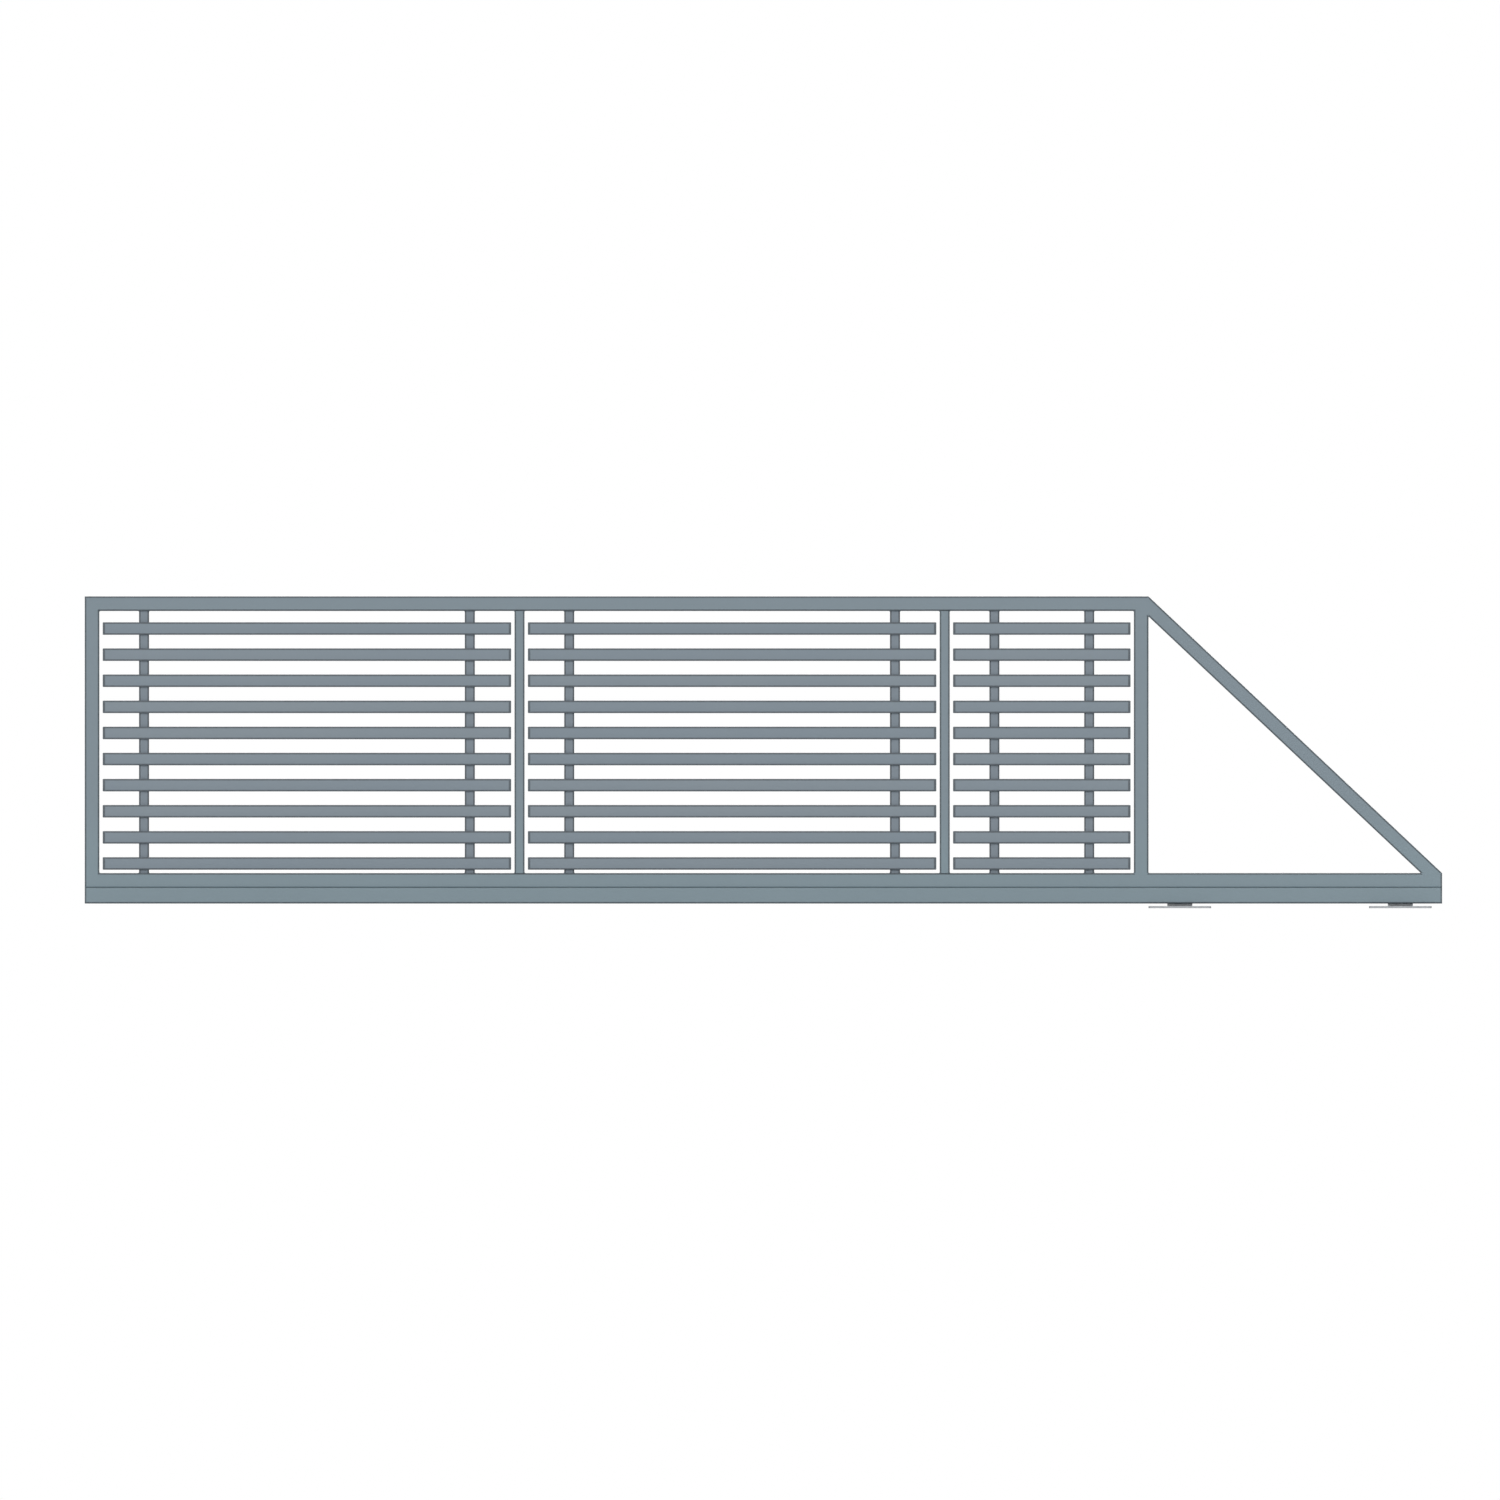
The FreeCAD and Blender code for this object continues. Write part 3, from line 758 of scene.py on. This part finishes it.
@dataclass
class SlatBay:
    """One bay of slats, with the plugs in their ends and the screws behind them."""

    number: int
    slat_count: int = 10
    slat_face: float = 0.060
    slat_wall: float = 0.002
    screw_reach: float = 0.015
    washer_radius: float = 0.0065
    washer_height: float = 0.0014
    washer_sides: int = 14
    head_radius: float = 0.0046
    head_height: float = 0.0042
    head_sides: int = 6
    seed: int = 7

    def __post_init__(self) -> None:
        """Reads the bay's place from the frame."""
        self.slats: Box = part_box(f"slats_bay_{self.number}")
        self.supports: list[Box] = [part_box(f"slat_support_{2 * self.number + side}") for side in (-1, 0)]
        low, high = self.slats
        self.pitch = (high.z - low.z - self.slat_face) / (self.slat_count - 1)
        self.depth = high.y - low.y
        self.first = Vector((low.x, (low.y + high.y) / 2, low.z + self.slat_face / 2))

    def build(self, palette: Palette) -> None:
        """Makes the slats and screws of the bay, and finishes the plugs.

        Args:
            palette: The gate's finishes.
        """
        low, high = self.slats
        half = Vector((high.x - low.x, self.depth, self.slat_face)) / 2
        # Shade is painted along the edges and ends of every slat.
        line = TubeLine(
            middle=self.first + Vector((half.x, 0, 0)),
            along=Vector((1, 0, 0)),
            across=Vector((0, 0, 1)),
            half_length=half.x,
            half_face=half.z,
            half_depth=half.y,
            pitch=self.pitch,
            low_end=1.0,
            high_end=1.0,
        )
        self.build_slats(palette.slat.material(f"slat_coat_{self.number}", line))
        self.build_screws(palette.zinc)
        dress(palette.plug, (f"slat_plugs_bay_{self.number}",))

    def build_slats(self, material: bpy.types.Material) -> None:
        """Stacks the slats.

        Args:
            material: Their coat.
        """
        recipe = Recipe(f"slat_stack_{self.number}")
        sizes = {
            "First centre": self.first,
            "Pitch": self.pitch,
            "Count": self.slat_count,
            "Depth": self.depth,
            "Face": self.slat_face,
            "Wall": self.slat_wall,
            "Length": self.slats[1].x - self.slats[0].x,
        }
        first, pitch, count, depth, face, wall, length = recipe.sizes(sizes)
        shell, core = (
            recipe.bar(
                depth - 2 * inset,
                face - 2 * inset,
                2 * wall - inset,
                recipe.vector(0 - inset, 0, 0),
                recipe.vector(length + inset, 0, 0),
            )
            for inset in (0.0, wall)
        )
        slat = recipe.hollow(shell, core)
        stack = recipe.scatter(recipe.row(count, first, recipe.vector(0, 0, pitch)), slat)
        tone = recipe.random(0.0, 1.0, self.seed + self.number)
        sockets = {"Geometry": stack, "Name": "tone", "Value": tone}
        settings = {"data_type": "FLOAT", "domain": "INSTANCE"}
        recipe.serve(recipe.wire("GeometryNodeStoreNamedAttribute", settings, sockets), material)
        name = f"slats_bay_{self.number}"
        settle(recipe.make(f"{name}_coated"), Body.LEAF, Slot.SLAT, name)

    def build_screws(self, material: bpy.types.Material) -> None:
        """Drives two flanged screws through the supports into every slat, from behind.

        Args:
            material: Their zinc.
        """
        recipe = Recipe(f"slat_screws_{self.number}")
        left, right = self.supports
        middle = (left[0].x + left[1].x) / 2
        sizes = {
            "First centre": Vector((middle, left[1].y, self.first.z)),
            "Pitch": self.pitch,
            "Count": self.slat_count,
            "Support spacing": right[0].x - left[0].x,
            "Reach": self.screw_reach,
            "Washer radius": self.washer_radius,
            "Washer height": self.washer_height,
            "Head radius": self.head_radius,
            "Head height": self.head_height,
        }
        first, pitch, count, spacing, reach, *screw_sizes = recipe.sizes(sizes)
        washer_radius, washer_height, head_radius, head_height = screw_sizes
        discs = []
        for sides, radius, height, lift in (
            (self.washer_sides, washer_radius, washer_height, washer_height / 2),
            (self.head_sides, head_radius, head_height, washer_height + head_height / 2),
        ):
            sockets = {"Vertices": sides, "Radius": radius, "Depth": height}
            disc = recipe.wire("GeometryNodeMeshCylinder", {"fill_type": "NGON"}, sockets)
            move = {"Geometry": disc, "Translation": recipe.vector(0, 0, lift)}
            discs.append(recipe.wire("GeometryNodeTransform", None, move))
        screw = recipe.join(*discs)
        pair = recipe.row(2, recipe.vector(0, 0, 0 - reach), recipe.vector(0, 0, reach * 2))
        heights = recipe.row(count, recipe.vector(0, 0, 0), recipe.vector(0, 0, pitch))
        column = recipe.scatter(heights, pair)
        columns = recipe.scatter(recipe.row(2, first, recipe.vector(spacing, 0, 0)), column)
        points = recipe.wire("GeometryNodeRealizeInstances", None, {"Geometry": columns})
        turn = recipe.random(0.0, 2 * math.pi / self.head_sides, self.seed)
        screws = recipe.scatter(points, screw, Rotation=recipe.vector(-math.pi / 2, 0, 0))
        spin = {"Instances": screws, "Rotation": recipe.vector(0, 0, turn), "Local Space": True}
        recipe.serve(recipe.wire("GeometryNodeRotateInstances", None, spin), material)
        settle(recipe.make(f"slat_screws_bay_{self.number}"), Body.LEAF, Slot.ZINC)


@dataclass
class WeldSeams:
    """Weld beads that follow straight seams."""

    radius: float = 0.0032
    ripple_pitch: float = 0.0042
    ripple_depth: float = 0.22
    step: float = 0.0012
    taper_share: float = 0.125
    thinnest: float = 0.15
    sides: int = 8
    sharp_edge: float = 80.0
    seams: list[tuple[Vector, Vector]] = field(default_factory=list)

    def add(self, start: Iterable[float], end: Iterable[float]) -> None:
        """Adds one seam between two points."""
        self.seams.append((Vector(start), Vector(end)))

    def build(self, name: str, material: bpy.types.Material, body: Body, slot: Slot) -> None:
        """Makes all the beads as one piece.

        Args:
            name: The piece's name.
            material: Its finish.
            body: The body that it moves with.
            slot: The record's slot that it belongs to.
        """
        lines = bpy.data.meshes.new(f"{name}_lines")
        points = [point for seam in self.seams for point in seam]
        lines.from_pydata(points, [(2 * index, 2 * index + 1) for index in range(len(self.seams))], [])
        recipe = Recipe(f"{name}_recipe", takes_mesh=True)
        sizes = {
            "Radius": self.radius,
            "Ripple pitch": self.ripple_pitch,
            "Ripple depth": self.ripple_depth,
            "Step": self.step,
        }
        radius, pitch, depth, step = recipe.sizes(sizes)
        seam = recipe.wire("GeometryNodeMeshToCurve", None, {"Mesh": recipe.mesh()})
        stations = {"Curve": seam, "Length": step}
        path = recipe.wire("GeometryNodeResampleCurve", {"mode": "LENGTH"}, stations)
        spline = recipe.node("GeometryNodeSplineParameter")
        factor, length = Wire(recipe, spline.outputs["Factor"]), Wire(recipe, spline.outputs["Length"])
        ripple = 1 - depth * abs((length * math.pi / pitch).wave())
        taper = (factor.least(1 - factor) / self.taper_share).least(1.0) ** 0.5
        circle = {"Resolution": self.sides, "Radius": radius}
        ring = recipe.wire("GeometryNodeCurvePrimitiveCircle", {"mode": "RADIUS"}, circle)
        scale = (ripple * taper).most(self.thinnest)
        recipe.serve(recipe.sweep(path, ring, scale, self.sharp_edge), material)
        settle(recipe.make(name, lines), body, slot)


@dataclass(frozen=True)
class Groove:
    """The groove on one face where a tube's end lands on the rounded edge of another tube."""

    start: Vector
    end: Vector
    outward: Vector
    into: Vector
    landing: Vector
    reach: float


@dataclass
class FlushWelds:
    """Welds that fill such grooves, ground flush with both tubes."""

    corner: float = 0.008
    proud: float = 0.00015
    overlap: float = 0.0015
    steps: int = 6

    def sections(self, groove: Groove) -> list[list[Vector]]:
        """Works out the weld's section at places along a groove.

        Args:
            groove: The groove to fill.

        Returns:
            The four corners of each section, from the groove's start to its end.
        """
        way = (groove.end - groove.start).normalized()
        lap = groove.landing * (self.overlap / -groove.landing.dot(groove.into))
        angles = [index / self.steps * math.pi / 2 for index in range(self.steps + 1)]
        stations = [(groove.start, 1, angle) for angle in angles]
        stations += [(groove.end, -1, angle) for angle in reversed(angles)]
        found = []
        for end, sign, angle in stations:
            place = end + way * (sign * groove.reach * (1 - math.cos(angle)))
            inner = place - groove.outward * self.corner
            outer = place + groove.outward * (self.proud - self.corner * (1 - math.sin(angle)))
            depth = self.corner * (1 - math.cos(angle)) + self.overlap
            landed = [inner + lap, outer + lap]
            found.append(landed + [outer + groove.into * depth, inner + groove.into * self.overlap])
        return found

    def build(self, name: str, grooves: Iterable[Groove], material: bpy.types.Material) -> None:
        """Fills the grooves as one piece.

        Args:
            name: The piece's name.
            grooves: The grooves to fill.
            material: The coat over the welds.
        """
        shape = bmesh.new()
        for groove in grooves:
            rings = [[shape.verts.new(corner) for corner in ring] for ring in self.sections(groove)]
            for ring, following in zip(rings, rings[1:]):
                for index in range(len(ring)):
                    previous = index - 1
                    shape.faces.new((ring[previous], ring[index], following[index], following[previous]))
            shape.faces.new(rings[0])
            shape.faces.new(rings[-1])
        bmesh.ops.recalc_face_normals(shape, faces=shape.faces)
        mesh = bpy.data.meshes.new(name)
        shape.to_mesh(mesh)
        shape.free()
        mesh.materials.append(material)
        piece = bpy.data.objects.new(name, mesh)
        bpy.context.scene.collection.objects.link(piece)
        settle(piece, Body.LEAF, Slot.FRAME)


@dataclass
class LeafFrame:
    """The welded tubes of the leaf."""

    supports: tuple[str, ...] = tuple(f"slat_support_{number}" for number in range(1, 7))
    posts: tuple[str, ...] = ("mid_post_1", "mid_post_2")
    caps: tuple[str, ...] = ("carrier_front_cap", "carrier_rear_cap", "bottom_rail_cap")
    bead_inset: float = 0.005
    stitch_length: float = 0.050
    stitch_pitch: float = 0.300

    def __post_init__(self) -> None:
        """Reads the frame's main lines."""
        top, bottom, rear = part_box("top_rail"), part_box("bottom_rail"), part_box("rear_stile")
        self.face = top[1].z - top[0].z
        self.street, self.yard = top[0].y, top[1].y
        self.head, self.sill = top[0].z, bottom[1].z
        self.front_inside, self.rear_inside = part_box("front_stile")[1].x, rear[0].x
        self.corner = Vector((rear[1].x, 0, top[1].z))
        self.tail = Vector((bottom[1].x, 0, self.sill))
        self.brace_way = (self.tail - self.corner).normalized()
        self.under_brace = self.corner.z - self.face / self.brace_way.x
        self.before_brace = self.tail.x + self.face / self.brace_way.z

    def build(self, palette: Palette) -> None:
        """Coats the tubes and welds them together.

        Args:
            palette: The gate's finishes.
        """
        for name, line in self.lines().items():
            coat = palette.support if name in self.supports else palette.frame
            dress(coat.material(f"{name}_coat", line), (name,))
        dress(palette.plug, self.caps)
        welds = WeldSeams()
        self.weld_uprights(welds)
        self.weld_corners(welds)
        self.weld_carrier(welds)
        welds.build("leaf_welds", palette.weld, Body.LEAF, Slot.FRAME)
        FlushWelds().build("flush_welds", self.grooves(), palette.weld)

    def lines(self) -> dict[str, TubeLine]:
        """Finds where each tube lies, and along which of its edges shade is painted.

        Returns:
            The tubes' lines, by node.
        """
        found = {
            name: TubeLine.of_node(name)
            for name in ("top_rail", "front_stile", "rear_stile", *self.posts, *self.supports)
        }
        # Shade is painted along the bottom rail's upper edge and the carrier's lower edge only; the groove
        # between them shades itself.
        found["bottom_rail"] = TubeLine.of_node("bottom_rail", low_side=0.0, high_end=1.0)
        found["carrier_rail"] = TubeLine.of_node("carrier_rail", high_side=0.0, low_end=1.0, high_end=1.0)
        across = Vector((-self.brace_way.z, 0, self.brace_way.x))
        half_face = self.face / 2
        found["tail_brace"] = TubeLine(
            middle=(self.corner + self.tail) / 2 - across * half_face,
            along=self.brace_way,
            across=across,
            half_length=(self.tail - self.corner).length / 2,
            half_face=half_face,
            half_depth=self.yard,
        )
        return found

    def cross(self, welds: WeldSeams, x: float, z: float, low: float, high: float) -> None:
        """Adds a bead through the leaf's depth, from the low to the high side of the narrower tube."""
        welds.add((x, low + self.bead_inset, z), (x, high - self.bead_inset, z))

    def weld_uprights(self, welds: WeldSeams) -> None:
        """Welds the posts and supports to both rails, on their two sides.

        Args:
            welds: The seams to add to.
        """
        for name in (*self.posts, *self.supports):
            low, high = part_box(name)
            for x in (low.x, high.x):
                for z in (low.z, high.z):
                    self.cross(welds, x, z, low.y, high.y)

    def weld_corners(self, welds: WeldSeams) -> None:
        """Welds the frame's inside corners and the ends of the brace.

        Args:
            welds: The seams to add to.
        """
        panel = [(x, z) for x in (self.front_inside, self.rear_inside) for z in (self.head, self.sill)]
        behind = self.corner.x
        tail = [(behind, self.sill), (behind, self.under_brace), (self.before_brace, self.sill)]
        for x, z in panel + tail:
            self.cross(welds, x, z, self.street, self.yard)

    def weld_carrier(self, welds: WeldSeams) -> None:
        """Stitches the bottom rail to the carrier rail, on the yard side.

        Args:
            welds: The seams to add to.
        """
        low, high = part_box("bottom_rail")
        count = int((high.x - low.x) // self.stitch_pitch)
        margin = (high.x - low.x - (count - 1) * self.stitch_pitch - self.stitch_length) / 2
        for index in range(count):
            start = low.x + margin + index * self.stitch_pitch
            welds.add((start, high.y, low.z), (start + self.stitch_length, high.y, low.z))

    def grooves(self) -> list[Groove]:
        """Finds the grooves at the rear stile's foot and at both ends of the brace.

        Returns:
            The grooves on the street and yard faces.
        """
        corner = FlushWelds.corner
        up, left = Vector((0, 0, 1)), Vector((-1, 0, 0))
        found = []
        for face in (self.street, self.yard):
            outward = Vector((0, math.copysign(1, face), 0))
            for start, end, into, landing, reach in (
                ((self.rear_inside, self.sill), (self.corner.x, self.sill), -up, up, corner),
                (
                    (self.before_brace, self.sill),
                    (self.tail.x, self.sill),
                    -up,
                    -self.brace_way,
                    -corner / self.brace_way.z,
                ),
                (
                    (self.corner.x, self.under_brace),
                    (self.corner.x, self.corner.z),
                    left,
                    self.brace_way,
                    corner / self.brace_way.x,
                ),
            ):
                ends = (Vector((x, face, z)) for x, z in (start, end))
                found.append(Groove(*ends, outward, into, landing, reach))
        return found


@dataclass
class Carriage:
    """One roller carriage in the carrier rail."""

    name: str
    nylon: Colour = (0.030, 0.030, 0.033)
    steel: Colour = (0.52, 0.52, 0.53)
    steel_metallic: float = 0.9
    street_rollers: int = 3
    yard_rollers: int = 2
    bead_inset: float = 0.004
    bead_radius: float = 0.004
    foot_height: float = 0.0001

    def build(self, palette: Palette) -> None:
        """Dresses the plate, web, rollers and axles, and welds the web to the plate.

        Args:
            palette: The gate's finishes.
        """
        dress(palette.zinc, (f"{self.name}_base", f"{self.name}_web"))
        for side, rollers in (("street", self.street_rollers), ("yard", self.yard_rollers)):
            low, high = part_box(f"{self.name}_{side}_rollers")
            diameter = high.z - low.z
            pitch = (high.x - low.x - diameter) / (rollers - 1)
            axle = Vector((low.x + diameter / 2, 0, (low.z + high.z) / 2))
            turned = (("rollers", self.nylon, 0.0), ("axles", self.steel, self.steel_metallic))
            for piece, colour, metallic in turned:
                node = f"{self.name}_{side}_{piece}"
                dress(TurnedFinish(colour, metallic, axle, pitch).material(f"{node}_turned"), (node,))
        self.weld_web(palette)

    def weld_web(self, palette: Palette) -> None:
        """Welds the web's foot to the base plate on both sides.

        Args:
            palette: The gate's finishes.
        """
        base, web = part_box(f"{self.name}_base"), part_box(f"{self.name}_web")
        mesh = frame["nodes"][f"{self.name}_web"].data
        plate = base[1].z
        foot = [vertex.co.x for vertex in mesh.vertices if vertex.co.z < plate + self.foot_height]
        start, end = min(foot) + self.bead_inset, max(foot) - self.bead_inset
        welds = WeldSeams(radius=self.bead_radius)
        for y in (web[0].y, web[1].y):
            welds.add((start, y, plate), (end, y, plate))
        welds.build(f"{self.name}_welds", palette.zinc_weld, Body.CARRIAGES, Slot.ZINC)


@dataclass(frozen=True)
class Lamp:
    """One soft lamp of the studio, at no set distance."""

    name: str
    azimuth: float
    elevation: float
    level: float
    spread: float

    def light(self) -> None:
        """Hangs the lamp so that a face square to it gets its level."""
        data = bpy.data.lights.new(self.name, "SUN")
        data.energy = self.level * math.pi
        data.angle = math.radians(self.spread)
        lamp = bpy.data.objects.new(self.name, data)
        lamp.rotation_euler = (math.radians(90 - self.elevation), 0, math.radians(self.azimuth))
        bpy.context.scene.collection.objects.link(lamp)

    def on_floor(self) -> float:
        """The share of its level that falls on flat ground."""
        return self.level * math.sin(math.radians(self.elevation))


@dataclass
class Studio:
    """The pale floor, the white surround, the lamps and the camera."""

    photo_side_px: float = 1500
    rail_left_px: float = 84.74
    rail_right_px: float = 1442.12
    leaf_middle_px: float = 749.98
    camera_distance: float = 12.0
    ambient: float = 0.27
    floor_size: float = 60.0
    floor_grey: float = 0.88
    floor_roughness: float = 0.9
    lamps: tuple[Lamp, ...] = (
        Lamp("street_lamp", -10, 14, 0.45, 28),
        Lamp("yard_lamp", 170, 14, 0.45, 28),
        Lamp("ceiling_lamp", 0, 85, 0.27, 50),
    )

    def build(self) -> None:
        """Sets up the studio around the part."""
        for lamp in self.lamps:
            lamp.light()
        self.build_world()
        self.build_floor()
        self.build_camera()
        bpy.context.scene.view_settings.view_transform = "Standard"

    def seen_rays(self, tree: Tree) -> Wire:
        """1 for rays that see the surround itself, and 0 for those that only carry its light.

        Args:
            tree: The tree that asks.

        Returns:
            The mask.
        """
        path = tree.node("ShaderNodeLightPath")
        camera, glossy, through = (
            Wire(tree, path.outputs[f"Is {name} Ray"]) for name in ("Camera", "Glossy", "Transmission")
        )
        return camera.most(glossy).most(through)

    def build_world(self) -> None:
        """Makes the surround: white to see, and a plain level of light."""
        world = bpy.data.worlds.new("surround")
        bpy.context.scene.world = world
        world.use_nodes = True
        tree = Tree(world.node_tree)
        world.node_tree.nodes.clear()
        strength = self.ambient + (1 - self.ambient) * self.seen_rays(tree)
        white = tree.wire("ShaderNodeBackground", None, {"Color": (1, 1, 1, 1), "Strength": strength})
        tree.node("ShaderNodeOutputWorld", None, {"Surface": white})

    def build_floor(self) -> None:
        """Lays the floor, which looks white where nothing shades it and keeps the gate's shadow."""
        half = self.floor_size / 2
        middle = (CAD_BOX[0] + CAD_BOX[1]) / 2
        corners = [(middle.x + x * half, y * half, 0) for x, y in ((-1, -1), (1, -1), (1, 1), (-1, 1))]
        mesh = bpy.data.meshes.new("floor")
        mesh.from_pydata(corners, [], [(0, 1, 2, 3)])
        floor = bpy.data.objects.new("floor", mesh)
        bpy.context.scene.collection.objects.link(floor)
        grey = self.floor_grey
        paint = Paint(
            "floor_paint",
            Base_Color=(grey, grey, grey, 1.0),
            Roughness=self.floor_roughness,
            Specular_IOR_Level=0.0,
            Emission_Strength=1.0,
        )
        lack = 1 - grey * (self.ambient + sum(lamp.on_floor() for lamp in self.lamps))
        paint.set("Emission Color", paint.blend(self.seen_rays(paint), (0.0, 0.0, 0.0), (lack, lack, lack)))
        mesh.materials.append(paint.material)

    def build_camera(self) -> None:
        """Sets the camera square to the street face, framed as the photograph is."""
        low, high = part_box("carrier_rail")
        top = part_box("top_rail")[1]
        metres_per_px = (high.x - low.x) / (self.rail_right_px - self.rail_left_px)
        middle_px = self.photo_side_px / 2
        data = bpy.data.cameras.new("street_camera")
        data.type = "ORTHO"
        data.ortho_scale = self.photo_side_px * metres_per_px
        camera = bpy.data.objects.new("street_camera", data)
        camera.location = (
            low.x + (middle_px - self.rail_left_px) * metres_per_px,
            -self.camera_distance,
            (low.z + top.z) / 2 + (self.leaf_middle_px - middle_px) * metres_per_px,
        )
        camera.rotation_euler = (math.pi / 2, 0, 0)
        bpy.context.scene.collection.objects.link(camera)
        bpy.context.scene.camera = camera


def main() -> None:
    """Dresses the gate piece by piece, and sets up the studio."""
    logging.basicConfig(level=logging.INFO, format="%(name)s %(message)s")
    palette = Palette()
    LeafFrame().build(palette)
    for number in (1, 2, 3):
        SlatBay(number).build(palette)
    for name in ("front_carriage", "rear_carriage"):
        Carriage(name).build(palette)
    Studio().build()


if __name__ == "__main__":
    main()
